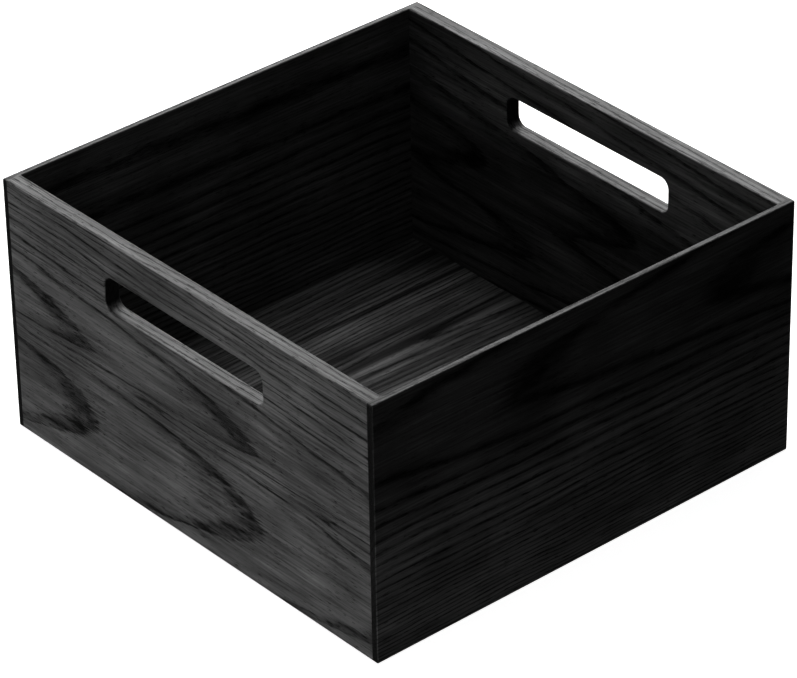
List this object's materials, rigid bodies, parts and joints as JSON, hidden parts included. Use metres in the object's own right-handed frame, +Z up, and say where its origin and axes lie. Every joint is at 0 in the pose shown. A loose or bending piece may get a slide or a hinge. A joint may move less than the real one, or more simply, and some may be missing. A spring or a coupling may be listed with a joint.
{
  "type": "storage box",
  "caption": "Open-topped square storage box of black-stained ash with a long hand slot through each thick end wall, thin side walls and a floor held in grooves.",
  "frame": {"origin": "on the ground under the middle of the box", "axes": "+Z up, +Y towards the rear handle panel, +X towards the right side panel"},
  "size_m": [0.308, 0.3, 0.16],
  "materials": {
    "handle_wall_ash": "black stain, open grain, matt oil",
    "side_wall_ash": "black stain, open grain, matt oil",
    "floor_ash": "black stain, open grain, matt oil",
    "pin_steel": "bright drawn wire"
  },
  "bodies": {
    "root": {"front_handle_panel": "handle_wall_ash", "rear_handle_panel": "handle_wall_ash", "left_side_panel": "side_wall_ash", "right_side_panel": "side_wall_ash", "bottom_panel": "floor_ash", "corner_pins": "pin_steel"}
  },
  "joints": []
}
